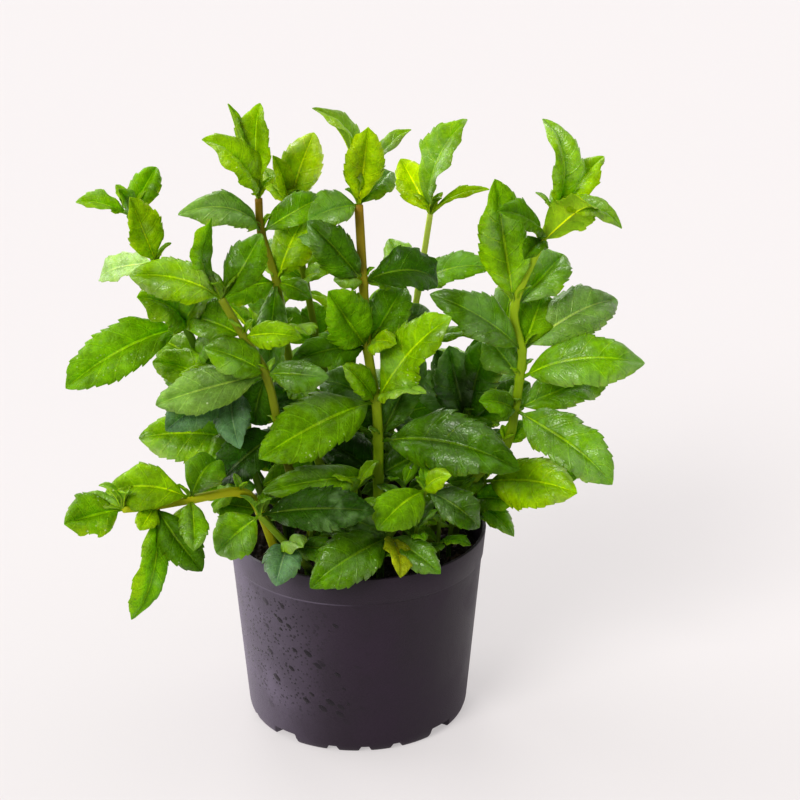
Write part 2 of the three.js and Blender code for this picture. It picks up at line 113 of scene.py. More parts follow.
# Each shoot is its stem's half thickness, how light its leaves are, the stem's colours at the soil and at
# the top, and its nodes from the soil up, as in the part. The leaves' lightness has a group for each node:
# 0 is the deepest green and 8 the lightest, 9 is a milky painted sheen, g a grey-green and b a blue-green
# painted sheen, and y is yellowed. The lightness is partly the leaves' own and partly painted light: the
# low codes partly paint the shade inside and under the foliage.
# A node is its place, then its leaves, or the turn, length, width and rise of one opposite pair.
# A leaf is its tip x, y, z, its width, the bearing that it faces, its bow and, if it is young, its fold.
HIDDEN = ("44 45 56", (90, 118, 22), (108, 142, 26))
SHOOTS = {
    "tall_left": (2.1, "44 45 463 g4 656", (150, 178, 36), (134, 106, 30), [
        [[-12, 14, 96]], [[-20, 17, 130]], [[-29, 19, 162], 100, 34, 20, 0.3],
        [[-36, 20, 194], [-54, 46, 212, 20, 20, 4], [-22, -14, 206, 17, 190, 4]],
        [[-39, 20, 221], [-65, 0, 219, 19, 10, 3], [-22, 32, 255, 24, -10, 2], [-43, -9, 181, 17, 0, 6]],
        [[-46, 20, 247], [-84, -5, 264, 21, 50, 10], [-17, 36, 260, 17, 40, 5]],
        [[-47, 20, 264], [-72, 2, 299, 27, 45, 5, 20], [-61, 26, 310, 14, 80, -1, 35],
         [-46, 31, 309, 24, -35, 1, 30]],
    ]),
    "back_left": (1.8, "45 456 878", (108, 134, 22), (134, 150, 24), [
        [[0, 40, 96]], [[-10, 44, 135]],
        [[-20, 48, 178], [-50, 62, 188, 22, 0, 4], [12, 60, 190, 22, 0, 4]],
        [[-26, 48, 212], [-54, 70, 222, 20, 20, 4], [-15, 30, 222, 16, -20, 3], [-4, 62, 232, 20, 0, 3]],
        [[-33, 50, 251], [-21, 57, 287, 23, 10, 3, 18], [-47, 60, 268, 14, 20, 0, 30],
         [-41, 44, 279, 13, 10, 0, 30]],
    ]),
    "centre": (2.4, "4 2 456 423 123 67644", (150, 182, 30), (148, 122, 34), [
        [[11, -10, 96]], [[11, -12, 131], [-44, -56, 142, 20, 60, 4]],
        [[11, -12, 150], [79, -45, 149, 34, 10, 8]],
        [[10, -12, 171], [-45, -55, 159, 34, -8, 5], [46, -35, 223, 32, -25, 3],
         [34, -44, 188, 17, 30, 3]],
        [[6, -8, 197], [-12, -30, 234, 28, -15, 0], [-30, -28, 198, 20, 10, 5],
         [36, 22, 206, 22, 20, 4]],
        [[4, -5, 230], [40, 4, 227, 24, 0, 15], [-22, -18, 265, 22, -10, 3], [-28, 16, 246, 20, 30, 4]],
        [[2, 0, 267], [-19, -12, 318, 22, 70, 5, 25], [7, -20, 311, 22, 10, 0, 25],
         [27, 12, 301, 14, -40, 7, 35], [18, 22, 277, 19, -10, 1, 25], [-22, -8, 262, 21, 15, 4, 20]],
    ]),
    "back_right": (1.7, "44 45 587", (150, 178, 40), (200, 214, 100), [
        [[12, 48, 96]], [[18, 54, 135]], [[25, 60, 168], 0, 38, 22, 0.3],
        [[31, 63, 202], [70, 45, 221, 18, 0, 11], [16, 86, 222, 18, 0, 3]],
        [[37, 65, 242], [55, 60, 293, 27, -50, 6, 20], [22, 76, 268, 20, -10, 0, 15],
         [66, 46, 261, 9, 40, 3, 30]],
    ]),
    "tall_right": (2.2, "44 4 3g 54 373 565", (118, 146, 12), (174, 202, 46), [
        [[36, -2, 96]], [[56, -5, 124]], [[74, -7, 146]],
        [[78, -8, 165], [124, -40, 139, 30, 10, 6], [126, 16, 174, 26, -10, 3]],
        [[80, -8, 181], [140, -15, 192, 30, 20, 12]],
        [[81, -8, 196], [36, -14, 227, 24, -60, 8], [129, 20, 212, 28, 0, 5]],
        [[77, -6, 218], [66, -20, 286, 29, 12, -1], [102, 22, 235, 27, -10, 2]],
        [[89, -5, 250], [67, -34, 275, 20, 60, 5, 25], [110, -32, 277, 22, 50, 3, 15],
         [80, -30, 250, 13, 0, 3, 25]],
        [[95, -5, 264], [89, 2, 309, 22, 40, 8, 25], [119, 8, 289, 24, -40, 1, 20],
         [126, -20, 262, 15, 30, 10, 25]],
    ]),
    "far_left": (1.9, "45 5 454 79 545", (92, 126, 24), (108, 146, 36), [
        [[-34, 8, 96]], [[-52, 5, 128]],
        [[-68, 2, 160], [-96, 30, 172, 20, 0, 4], [-42, 24, 174, 18, 0, 3]],
        [[-75, 0, 185], [-100, 18, 192, 20, 0, 3]],
        [[-82, -5, 207], [-139, -25, 183, 28, 15, 16], [-102, -32, 232, 28, 0, 4],
         [-70, 28, 222, 20, 0, 3]],
        [[-95, -8, 241], [-104, -26, 279, 20, 10, 1, 15], [-126, 20, 223, 16, 0, 1]],
        [[-107, -5, 264], [-131, -14, 273, 13, 60, 1, 25], [-95, 10, 283, 17, 10, 2, 25],
         [-110, -20, 281, 12, 0, 1, 25]],
    ]),
    "left": (2.0, "0 g4 5 435", (124, 132, 28), (128, 140, 30), [
        [[-18, -25, 96]], [[-30, -30, 135]], [[-36, -32, 163], [-65, -46, 142, 25, 0, 6]],
        [[-42, -35, 194], [-94, -44, 182, 24, 30, 6], [-70, -46, 212, 22, 20, 3]],
        [[-52, -35, 213], [-24, -50, 218, 16, 0, 3]],
        [[-62, -35, 232], [-65, -42, 274, 18, 50, -10, 15], [-43, -25, 261, 22, 0, 0, 20],
         [-104, -42, 246, 24, 10, 8]],
    ]),
    "left_low": (1.7, "44 5 bb5", (84, 112, 24), (100, 134, 28), [
        [[-40, -12, 96]], [[-48, -12, 125], [-78, -34, 132, 18, 0, 4], [-22, -2, 134, 16, 0, 3]],
        [[-55, -13, 150], [-105, -25, 157, 30, 0, 5]],
        [[-60, -15, 178], [-90, -42, 168, 24, 0, 4], [-54, -52, 163, 20, -10, 3],
         [-84, -28, 191, 20, 0, 3]],
    ]),
    "lower_left": (1.9, "4 3554 426 45", (184, 186, 30), (178, 190, 34), [
        [[-38, -34, 96]], [[-46, -46, 128]], [[-54, -60, 144], [-66, -38, 126, 16, 0, 2]],
        [[-76, -75, 147], [-64, -60, 160, 22, 0, 11], [-116, -76, 150, 24, 0, 15],
         [-84, -86, 122, 18, 30, 1], [-73, -102, 133, 15, 180, 2]],
        [[-92, -82, 147], [-104, -94, 94, 19, 60, 8], [-70, -96, 120, 20, 0, 1],
         [-98, -96, 141, 12, 0, 1]],
        [[-106, -90, 149], [-132, -100, 146, 25, 0, 0], [-123, -88, 156, 8, 0, 2]],
    ]),
    "front_left": (1.6, "b2 04", (98, 124, 26), (120, 146, 34), [
        [[-20, -50, 96]], [[-32, -56, 114], [-37, -75, 102, 20, 0, 6], [-6, -60, 112, 14, 0, 3]],
        [[-45, -58, 131], [10, -75, 141, 24, -10, 4], [-66, -62, 113, 25, 20, 3]],
    ]),
    "front": (1.7, "3y3 42", (102, 130, 26), (124, 152, 30), [
        [[12, -36, 96]],
        [[16, -42, 112], [-21, -73, 100, 28, 10, 8], [22, -70, 104, 16, 40, 4],
         [41, -66, 104, 18, 0, 4]],
        [[34, -40, 136], [11, -72, 130, 24, 0, 3], [60, -46, 119, 20, 0, 4]],
    ]),
    "right_low": (1.7, "4 64", (118, 140, 34), (124, 150, 34), [
        [[50, 8, 96]], [[58, 6, 110], [78, -22, 103, 13, 0, 2]],
        [[64, 2, 122], [108, -30, 130, 31, 0, 3], [112, 2, 126, 20, 0, 4]],
    ]),
    "dark_right": (1.9, "22 1122", (70, 100, 16), (88, 120, 20), [
        [[34, 24, 96]], [[44, 24, 125], -20, 36, 20, 0.5],
        [[56, 22, 144], [46, 14, 190, 26, 0, 1], [66, 8, 196, 26, -20, 1], [88, 40, 160, 22, 0, 4],
         [30, 44, 164, 22, 0, 4]],
    ]),
    "back_low": (1.8, *HIDDEN, [
        [[-24, 36, 96]], [[-34, 50, 122], 100, 32, 20, 0.4], [[-44, 62, 148], 120, 42, 24, 0.3],
        [[-54, 72, 174], 40, 32, 20, 0.9],
    ]),
    "back_middle": (1.8, *HIDDEN, [
        [[-8, 54, 96]], [[-6, 62, 116], 20, 28, 18, 0.1], [[-4, 70, 146], 120, 36, 22, 0.3],
        [[-2, 78, 170], 20, 28, 18, 1.0],
    ]),
    "side_right": (1.8, *HIDDEN, [
        [[30, 42, 96]], [[46, 56, 120], 60, 34, 20, 0], [[62, 66, 146], -60, 36, 24, 0.3],
        [[74, 72, 168], 70, 32, 18, 1.0],
    ]),
}

# Leaves too many for the part's solids, which thicken the inside of the plant: the number of the leaf's
# node or else its place on the stem, then the leaf itself and how light it is. The deepest are dark
# greens, which partly paint the shade inside the plant.
INNER_LEAVES = {
    "far_left": [(3, [-66, -22, 208, 20, 10, 3], "4"), (4, [-68, -24, 232, 18, 20, 4], "5")],
    "left": [
        (4, [-78, -22, 218, 24, 10, 4], "4"), (3, [-12, -44, 196, 18, -10, 4], "3"),
        (3, [-49, -20, 162, 18, 0, 3], "1"),
    ],
    "tall_left": [
        (2, [-52, -2, 158, 24, 10, 4], "1"), (1, [-54, 14, 138, 24, 10, 4], "0"),
        (1, [8, 4, 140, 24, -10, 4], "1"), (4, [-22, 14, 215, 13, 0, 3], "4"),
    ],
    "back_left": [
        (1, [-42, 30, 144, 22, 10, 4], "1"), (1, [20, 38, 148, 22, -10, 4], "1"),
        ([-5, 42, 115], [24, 34, 118, 22, 0, 4], "0"), ([-5, 42, 115], [-34, 40, 120, 22, 0, 4], "0"),
        (2, [-23, 60, 197, 16, 0, 2], "4"),
    ],
    "back_right": [
        (1, [46, 44, 146, 22, 0, 3], "2"), (1, [-10, 52, 142, 22, 0, 3], "1"),
        ([15, 51, 115], [44, 42, 118, 22, 0, 3], "0"), (2, [44, 40, 186, 18, 0, 3], "3"),
    ],
    "centre": [
        (3, [-6, -26, 196, 15, 0, 2], "5"), (4, [20, -30, 208, 14, 0, 2], "6"),
        (4, [24, 12, 222, 22, 0, 3], "3"), (2, [33, 10, 188, 20, 0, 3], "2"),
        (1, [40, -2, 142, 22, 10, 4], "1"), (1, [-16, 4, 142, 22, 0, 4], "0"),
        (3, [-18, 5, 175, 22, 0, 3], "2"), (5, [-10, -14, 234, 13, 0, 3], "5"),
        (5, [17, 6, 225, 12, 0, 2], "4"),
    ],
    "side_right": [
        ([38, 49, 108], [66, 40, 116, 24, 10, 4], "0"),
        ([38, 49, 108], [12, 44, 118, 24, -10, 4], "0"), ([54, 61, 133], [84, 48, 148, 24, 0, 4], "1"),
    ],
    "dark_right": [
        (1, [68, 6, 152, 22, 10, 3], "2"), (1, [24, 8, 148, 22, -10, 3], "1"),
        (2, [40, 30, 182, 20, 0, 3], "1"), (2, [60, 30, 188, 18, 0, 3], "1"),
    ],
    "tall_right": [
        (5, [92, 16, 218, 24, 10, 3], "4"), (4, [64, 12, 196, 22, 0, 3], "3"),
        (3, [60, -24, 176, 18, 20, 3], "3"), (2, [84, 0, 155, 13, 0, 2], "4"),
    ],
    "front": [(2, [46, -54, 150, 13, 10, 2], "6"), (1, [-8, -40, 122, 16, 0, 3], "3")],
    "right_low": [(1, [80, -14, 118, 20, 10, 3], "4"), (2, [46, -12, 128, 16, 0, 2], "3")],
    "left_low": [(2, [-70, -36, 150, 18, 0, 3], "4"), (3, [-99, -5, 189, 22, 0, 4], "5")],
    "lower_left": [(1, [-69, -48, 132, 16, 0, 3], "4")],
    "front_left": [(1, [-24, -74, 122, 14, 10, 2], "5")],
}

# Sprouts that hide the soil: each one's place on it, its turn in degrees and how tall it is.
SPROUTS = [
    (24, -46, 20, 30), (40, -34, -30, 34), (46, -12, 10, 30), (28, -20, 60, 38), (-2, -48, 100, 26),
    (-2, -28, 40, 40), (-26, -14, 0, 38), (-36, 4, 60, 40), (24, 8, 30, 44), (-14, 24, 80, 44),
    (8, 28, 15, 40), (-24, -36, 45, 28),
]
SPROUT_FOOT, SPROUT_RADIUS = 92, 1.2
SPROUT_STEM = (78, 104, 14), (112, 142, 24)  # colours at the soil and at the top

# Leaf colours, by how light they are. The low ones partly paint shade, and 9, g and b are painted sheen.
GREENS = {
    "0": (38, 66, 0), "1": (57, 92, 0), "2": (72, 110, 0), "3": (87, 128, 0), "4": (104, 146, 0),
    "5": (121, 160, 0), "6": (138, 175, 0), "7": (157, 191, 0), "8": (175, 206, 0), "9": (150, 186, 84),
    "g": (118, 152, 66), "b": (92, 124, 84), "y": (150, 162, 20),
}


def linear(colour):
    """A colour of 0 to 255 as linear light."""
    share = np.asarray(colour, float) / 255
    return np.where(share <= 0.04045, share / 12.92, ((share + 0.055) / 1.055) ** 2.4)


def paint(*colour):
    """A colour of 0 to 255 as a shader takes it."""
    return (*linear(colour), 1)


def unit(vectors):
    """Vectors at length 1."""
    return vectors / np.linalg.norm(vectors, axis=-1, keepdims=True)


def ease(low, high, value):
    """0 below low, 1 above high and 3s^2 - 2s^3 between them, where s is the share of the way."""
    share = np.clip((value - low) / (high - low), 0, 1)
    return share * share * (3 - 2 * share)


def grid_quads(rows, columns, ring_rows=False, ring_columns=False):
    """The quads of a grid of points, row by row. A ring joins its last row or column to its first."""
    row, column = np.meshgrid(
        np.arange(rows if ring_rows else rows - 1),
        np.arange(columns if ring_columns else columns - 1),
        indexing="ij",
    )
    next_row, next_column = (row + 1) % rows, (column + 1) % columns
    return np.stack([
        (row * columns + column).ravel(), (row * columns + next_column).ravel(),
        (next_row * columns + next_column).ravel(), (next_row * columns + column).ravel(),
    ], axis=1)


def fan(centre, ring):
    """Triangles from a centre point to each step of a ring."""
    return np.stack([np.full(len(ring), centre), ring, np.roll(ring, -1)], axis=1)


def tube_faces(rows, columns):
    """A tube's quads, and the fans that close its ends from two centre points that follow its own."""
    around, centre = np.arange(columns), rows * columns
    fans = [fan(centre, around)[:, ::-1], fan(centre + 1, centre - columns + around)]
    return grid_quads(rows, columns, ring_columns=True), np.concatenate(fans)


def add_object(name, data):
    thing = bpy.data.objects.new(name, data)
    bpy.context.scene.collection.objects.link(thing)
    return thing


def make_piece(name, points, faces, material, marks=None, tints=None, crease=40):
    """A mesh of points in millimetres and arrays of faces, with a value or a colour at each point."""
    mesh = bpy.data.meshes.new(name)
    counts = np.concatenate([np.full(len(group), group.shape[1]) for group in faces])
    corners = np.concatenate([group.ravel() for group in faces]).astype(np.int32)
    mesh.vertices.add(len(points))
    mesh.vertices.foreach_set("co", (np.asarray(points) * MM).astype(np.float32).ravel())
    mesh.loops.add(len(corners))
    mesh.loops.foreach_set("vertex_index", corners)
    mesh.polygons.add(len(counts))
    starts = np.concatenate([[0], np.cumsum(counts)[:-1]]).astype(np.int32)
    mesh.polygons.foreach_set("loop_start", starts)
    mesh.update(calc_edges=True)
    mesh.validate()
    for key, values in (marks or {}).items():
        mark = mesh.attributes.new(key, "FLOAT", "POINT")
        mark.data.foreach_set("value", np.asarray(values, np.float32))
    if tints is not None:
        rgba = np.column_stack([tints, np.ones(len(tints))]).astype(np.float32)
        mesh.attributes.new("tint", "FLOAT_COLOR", "POINT").data.foreach_set("color", rgba.ravel())
    mesh.shade_smooth()
    mesh.set_sharp_from_angle(angle=math.radians(crease))
    mesh.materials.append(material)
    piece = add_object(name, mesh)
    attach(piece, "root")
    return piece


# ---------------------------------------------------------------- materials


def spaced(inputs):
    return {key.replace("_", " "): value for key, value in inputs.items()}


class Nodes:
    """A node tree that is written one node a line."""

    def __init__(self, tree):
        self.tree = tree
        self.tree.nodes.clear()

    def feed(self, node, inputs):
        """Each named or numbered input gets a link from another node's output, or a plain value."""
        for key, value in inputs.items():
            if isinstance(value, bpy.types.NodeSocket):
                self.tree.links.new(value, node.inputs[key])
            else:
                node.inputs[key].default_value = value
        return node

    def add(self, kind, inputs=None, **settings):
        node = self.tree.nodes.new(kind)
        for key, value in settings.items():
            setattr(node, key, value)
        return self.feed(node, inputs or {})

    def group(self, tree, **inputs):
        """A node group. In an input's name, an underscore stands for a space."""
        return self.add("ShaderNodeGroup", spaced(inputs), node_tree=tree).outputs

    def math(self, operation, a, b=0, c=0, clamp=False):
        node = self.add("ShaderNodeMath", {0: a, 1: b, 2: c}, operation=operation, use_clamp=clamp)
        return node.outputs[0]

    def times(self, first, *others):
        for other in others:
            first = self.math("MULTIPLY", first, other)
        return first

    def scaled(self, value, share, more):
        """The value times the share, and more."""
        return self.math("MULTIPLY_ADD", value, share, more)

    def less(self, value, clamp=False):
        """1 less the value."""
        return self.math("SUBTRACT", 1, value, clamp=clamp)

    def span(self, value, low, high, to_low=0, to_high=1):
        """The value eased from low..high to to_low..to_high."""
        return self.add("ShaderNodeMapRange", {
            "Value": value, "From Min": low, "From Max": high, "To Min": to_low, "To Max": to_high,
        }, interpolation_type="SMOOTHSTEP").outputs[0]

    def mix(self, share, a, b, blend="MIX"):
        node = self.add("ShaderNodeMix", {0: share, 6: a, 7: b}, data_type="RGBA", blend_type=blend)
        return node.outputs[2]

    def attribute(self, name, output="Fac"):
        return self.add("ShaderNodeAttribute", attribute_name=name).outputs[output]

    def noise(self, place, scale, detail=3, roughness=0.6):
        return self.add("ShaderNodeTexNoise", {
            "Vector": place, "Scale": scale, "Detail": detail, "Roughness": roughness,
        }).outputs["Fac"]

    def bump(self, height, strength, distance):
        return self.add("ShaderNodeBump", {
            "Strength": strength, "Distance": distance, "Height": height,
        }).outputs[0]

    def surface(self, **inputs):
        """The shader, joined to the material's output. Its inputs are named as a group's are."""
        shader = self.add("ShaderNodeBsdfPrincipled", spaced(inputs))
        self.add("ShaderNodeOutputMaterial", {0: shader.outputs[0]})


def make_material(name):
    """A new material, its nodes, and the place on the object that its patterns follow."""
    material = bpy.data.materials.new(name)
    material.use_nodes = True
    nodes = Nodes(material.node_tree)
    return material, nodes, nodes.add("ShaderNodeTexCoord").outputs["Object"]


def make_group(name, inputs, outputs):
    """A node group, as its nodes, its inputs and its output node.

    An input that is given a number is a value and starts there, and one without is a place.
    """
    tree = bpy.data.node_groups.new(name, "ShaderNodeTree")
    for key, value in inputs.items():
        kind = "NodeSocketVector" if value is None else "NodeSocketFloat"
        socket = tree.interface.new_socket(key, in_out="INPUT", socket_type=kind)
        if value is not None:
            socket.default_value = value
    for key in outputs:
        tree.interface.new_socket(key, in_out="OUTPUT", socket_type="NodeSocketFloat")
    nodes = Nodes(tree)
    return nodes, nodes.add("NodeGroupInput").outputs, nodes.add("NodeGroupOutput")


def make_vein_group():
    """Where a leaf's midrib and side veins run, and how its skin rises between them."""
    nodes, given, out = make_group(
        "Leaf veins", {"Across": 0, "Along": 0, "Side veins": 5, "Place": None},
        ["Midrib", "Veins", "Net", "Relief"],
    )
    away = nodes.math("ABSOLUTE", given["Across"])
    slim = nodes.scaled(given["Along"], -0.05, 0.08)
    midrib = nodes.less(nodes.math("DIVIDE", away, slim), clamp=True)
    midrib = nodes.span(midrib, 0, 0.6)
    right = nodes.math("GREATER_THAN", given["Across"], 0)
    bent = nodes.scaled(away, -0.2, given["Along"])
    order = nodes.scaled(right, 0.3, nodes.times(bent, given["Side veins"]))
    close = nodes.math("PINGPONG", order, 0.5)
    veins = nodes.times(nodes.span(close, 0, 0.075, 1, 0), nodes.span(away, 0.75, 1, 1, 0))
    cells = nodes.add("ShaderNodeTexVoronoi", {"Vector": given["Place"], "Scale": NET_CELLS},
                      feature="DISTANCE_TO_EDGE")
    net = nodes.span(cells.outputs["Distance"], 0, 0.16, 1, 0)
    relief = nodes.scaled(net, -0.35, nodes.times(veins, -0.8))
    relief = nodes.math("SUBTRACT", relief, midrib)
    nodes.feed(out, {"Midrib": midrib, "Veins": veins, "Net": net, "Relief": relief})
    return nodes.tree


def make_drop_group():
    """Small round drops of water, scattered: how far a place is inside one, and how it rises."""
    nodes, given, out = make_group(
        "Water drops", {"Place": None, "Scale": 300, "Share": 0.1, "Size": 0.3}, ["Mask", "Rise"],
    )
    cells = {"Vector": given["Place"], "Scale": given["Scale"]}
    cells = nodes.add("ShaderNodeTexVoronoi", cells).outputs
    split = nodes.add("ShaderNodeSeparateColor", {"Color": cells["Color"]}).outputs
    kept = nodes.math("LESS_THAN", split[0], given["Share"])
    size = nodes.times(given["Size"], nodes.span(split[1], 0, 1, 0.5, 1))
    inside = nodes.less(nodes.math("DIVIDE", cells["Distance"], size), clamp=True)
    inside = nodes.times(inside, kept)
    nodes.feed(out, {"Mask": nodes.span(inside, 0, 0.2), "Rise": nodes.math("POWER", inside, 0.5)})
    return nodes.tree


# Cells or patches of each pattern in a metre
NET_CELLS = 420
LEAF_PATCHES, LEAF_GRAIN, LEAF_GLOSS, LEAF_PORES = 45, 260, 130, 800
LEAF_DROPS, FINE_DEW, WET_PATCHES, BEAD_PATCHES, LEAF_SHEEN_PATCHES = 330, 520, 52, 38, 30
POT_DRIPS, POT_PATCHES, POT_BLOOM, POT_GRAIN = 210, 40, 26, 1500
CRUMBS, CRUMB_GRAIN, FIBRES = 380, 700, 160
FLOOR_PATCHES = 3


def make_foliage():
    """Leaf and stem: the tint of each leaf, pale veins, mottling, a matt underside, and dew on top, with a
    painted glint on its beads, and patches of painted sheen.
    """
    material, nodes, place = make_material("fresh mint")
    tint = nodes.attribute("tint", "Color")
    under, stem, along, across = map(nodes.attribute, ("under", "stem", "along", "across"))
    leaf, upper = nodes.less(stem), nodes.less(under)
    veins = nodes.group(
        veins_group, Across=across, Along=along, Side_veins=nodes.attribute("veins"), Place=place,
    )
    drops = nodes.group(drops_group, Place=place, Scale=LEAF_DROPS, Share=0.07, Size=0.26)
    dew = nodes.group(drops_group, Place=place, Scale=FINE_DEW, Share=0.3, Size=0.32)

    patches = nodes.span(nodes.noise(place, LEAF_PATCHES, 4), 0.3, 0.7, 0.62, 1.28)
    grain = nodes.span(nodes.noise(place, LEAF_GRAIN), 0.3, 0.7, 0.86, 1.14)
    net = nodes.scaled(veins["Net"], 0.14, 1)
    fine = nodes.scaled(veins["Veins"], 0.3, 1)
    light = nodes.math("SUBTRACT", nodes.times(patches, grain, net, fine), 1)
    light = nodes.scaled(light, leaf, 1)
    grey = nodes.add("ShaderNodeCombineColor", {0: light, 1: light, 2: light}).outputs[0]
    colour = nodes.mix(1, tint, grey, "MULTIPLY")
    paler = nodes.mix(1, colour, (2.3, 1.85, 2, 1), "MULTIPLY")
    paler = nodes.mix(1, paler, (0.035, 0.04, 0.006, 1), "ADD")
    matt = nodes.mix(0.45, colour, paint(118, 152, 66))
    colour = nodes.mix(nodes.times(under, 0.8), colour, matt)
    rib = nodes.times(veins["Midrib"], nodes.span(along, 0, 1, 1, 0.55), leaf)
    colour = nodes.mix(rib, colour, paler)

    wet_and_sheen = nodes.scaled(nodes.attribute("wet_and_sheen"), 0.2, -0.1)
    wet = nodes.span(nodes.math("ADD", nodes.noise(place, WET_PATCHES), wet_and_sheen), 0.5, 0.62)
    wet = nodes.times(wet, nodes.scaled(under, -0.8, 1), leaf)
    margin = nodes.span(nodes.math("ABSOLUTE", across), 0.35, 0.85, 0.25, 1)
    glinting_beads = nodes.span(nodes.noise(place, BEAD_PATCHES, 2, 0.5), 0.5, 0.62)
    glinting_beads = nodes.times(glinting_beads, margin, dew["Mask"], leaf, upper)
    # Painted glint: dew beads near the margins are painted pale into the colour, as the light they catch.
    colour = nodes.mix(nodes.times(glinting_beads, 0.7), colour, paint(196, 214, 170))
    # Painted sheen: pale grey-green patches laid into the colour of a leaf's upper side, more on wetter
    # leaves.
    leaf_painted_sheen = nodes.span(nodes.math("ADD", nodes.noise(place, LEAF_SHEEN_PATCHES, 4, 0.65), wet_and_sheen), 0.56, 0.68)
    colour = nodes.mix(nodes.times(leaf_painted_sheen, leaf, upper, 0.3), colour, paint(142, 180, 112))

    drop = nodes.math("MAXIMUM", glinting_beads, nodes.times(drops["Mask"], leaf))
    rough = nodes.span(nodes.noise(place, LEAF_GLOSS), 0.3, 0.7, 0.34, 0.46)
    rough = nodes.times(rough, nodes.span(wet, 0, 1, 1, 0.8))
    rough = nodes.scaled(under, 0.25, rough)
    rough = nodes.times(rough, nodes.span(drop, 0, 1, 1, 0.3))
    gloss = nodes.span(wet, 0, 1, 0.12, 0.7)
    skin = nodes.times(veins["Relief"], leaf, 0.7)
    skin = nodes.scaled(nodes.noise(place, LEAF_PORES), 0.5, skin)
    skin = nodes.scaled(nodes.times(drops["Rise"], leaf), 1.2, skin)
    nodes.surface(
        Base_Color=colour, Roughness=rough, Specular_IOR_Level=gloss,
        Normal=nodes.bump(skin, 0.7, 0.0006),
        Subsurface_Weight=0.32, Subsurface_Scale=0.002, Subsurface_Radius=(0.6, 1, 0.15),
    )
    return material


def make_pot_plastic():
    """Dark aubergine plastic: bloom, drops and slanting drips on the left, a painted sheen down the left
    side, and a painted highlight along the band's ledge.
    """
    material, nodes, place = make_material("aubergine plastic")
    x, _, z = nodes.add("ShaderNodeSeparateXYZ", {"Vector": place}).outputs
    left = nodes.span(x, -0.062, 0.022, 1, 0)
    middle = nodes.times(nodes.span(z, 0.008, 0.03), nodes.span(z, 0.078, 0.092, 1, 0))
    wet = nodes.times(nodes.span(left, 0, 0.35), middle)
    dew = nodes.group(drops_group, Place=place, Scale=FINE_DEW, Share=0.7, Size=0.46)
    slanting = nodes.add("ShaderNodeMapping", {
        "Vector": place, "Rotation": (0, 0.65, 0), "Scale": (1.6, 1.3, 0.8),
    }, vector_type="TEXTURE").outputs[0]
    drips = nodes.group(drops_group, Place=slanting, Scale=POT_DRIPS, Share=0.5, Size=0.4)
    gathered = nodes.span(nodes.noise(place, POT_PATCHES, 2, 0.5), 0.3, 0.42)
    gathered = nodes.times(gathered, nodes.span(x, -0.056, -0.036))
    fine = nodes.times(dew["Mask"], 0.75, nodes.span(left, 0.15, 0.7))
    marks = nodes.times(nodes.math("MAXIMUM", fine, nodes.times(drips["Mask"], gathered)), wet)
    rise = nodes.scaled(dew["Rise"], 0.4, nodes.times(drips["Rise"], gathered))
    rise = nodes.times(rise, wet)

    bloom = nodes.span(nodes.noise(place, POT_BLOOM, 5), 0.35, 0.7)
    colour = nodes.mix(bloom, paint(31, 17, 32), paint(41, 25, 43))
    grain = nodes.span(nodes.noise(place, POT_GRAIN, 2), 0.3, 0.7)
    colour = nodes.mix(nodes.times(grain, 0.2), colour, paint(58, 44, 62))
    # Painted sheen: the left side of the wall is painted paler towards its far edge, where the light
    # falls.
    left_side_painted_sheen = nodes.times(nodes.math("POWER", left, 2.8), nodes.span(bloom, 0, 1, 0.5, 0.8))
    colour = nodes.mix(left_side_painted_sheen, colour, paint(132, 123, 141))
    # Painted highlight: a thin pale line along the band's ledge, on the lit left side only.
    ledge_painted_highlight = nodes.math("ABSOLUTE", nodes.math("SUBTRACT", z, (BAND_FOOT - 0.4) * MM))
    ledge_painted_highlight = nodes.times(nodes.span(ledge_painted_highlight, 0.0002, 0.0007, 0.4, 0), nodes.span(left, 0.05, 0.5))
    colour = nodes.mix(ledge_painted_highlight, colour, paint(132, 123, 141))
    colour = nodes.mix(marks, colour, paint(22, 13, 24))
    rough = nodes.times(nodes.span(bloom, 0, 1, 0.44, 0.56), nodes.span(marks, 0, 1, 1, 0.4))
    height = nodes.scaled(grain, 0.2, rise)
    nodes.surface(Base_Color=colour, Roughness=rough, Specular_IOR_Level=0.42,
                  Normal=nodes.bump(height, 0.6, 0.0006))
    return material


def make_earth():
    """Moist peat: near-black crumbs, brown bark fibre and a few paler grains."""
    material, nodes, place = make_material("potting soil")
    crumbs = nodes.add("ShaderNodeTexVoronoi", {"Vector": place, "Scale": CRUMBS}).outputs
    split = nodes.add("ShaderNodeSeparateColor", {"Color": crumbs["Color"]}).outputs
    colour = nodes.mix(split[0], paint(20, 13, 9), paint(52, 36, 24))
    drawn = nodes.add("ShaderNodeMapping", {"Vector": place, "Scale": (0.3, 1, 1)}).outputs[0]
    fibre = nodes.span(nodes.noise(drawn, FIBRES, 4), 0.58, 0.68)
    colour = nodes.mix(nodes.times(fibre, 0.6), colour, paint(92, 66, 42))
    pale = nodes.math("GREATER_THAN", split[1], 0.965)
    colour = nodes.mix(nodes.times(pale, 0.5), colour, paint(150, 132, 104))
    rough = nodes.span(split[2], 0, 1, 0.7, 0.95)
    height = nodes.times(nodes.noise(place, CRUMB_GRAIN, 4, 0.65), 0.6)
    height = nodes.math("SUBTRACT", height, crumbs["Distance"])
    nodes.surface(Base_Color=colour, Roughness=rough, Specular_IOR_Level=0.3,
                  Normal=nodes.bump(height, 0.9, 0.0012))
    return material


veins_group, drops_group = make_vein_group(), make_drop_group()
foliage, plastic, earth = make_foliage(), make_pot_plastic(), make_earth()


# ---------------------------------------------------------------- leaves and stems


def blade_shape(along):
    """Half the blade's width as a share: (t/w)^0.78 ((1-t)/(1-w))^0.8, which is 1 near t = w."""
    along = np.clip(along, 0, 1)
    return (along / WIDEST) ** ROUND_BASE * ((1 - along) / (1 - WIDEST)) ** ROUND_TIP


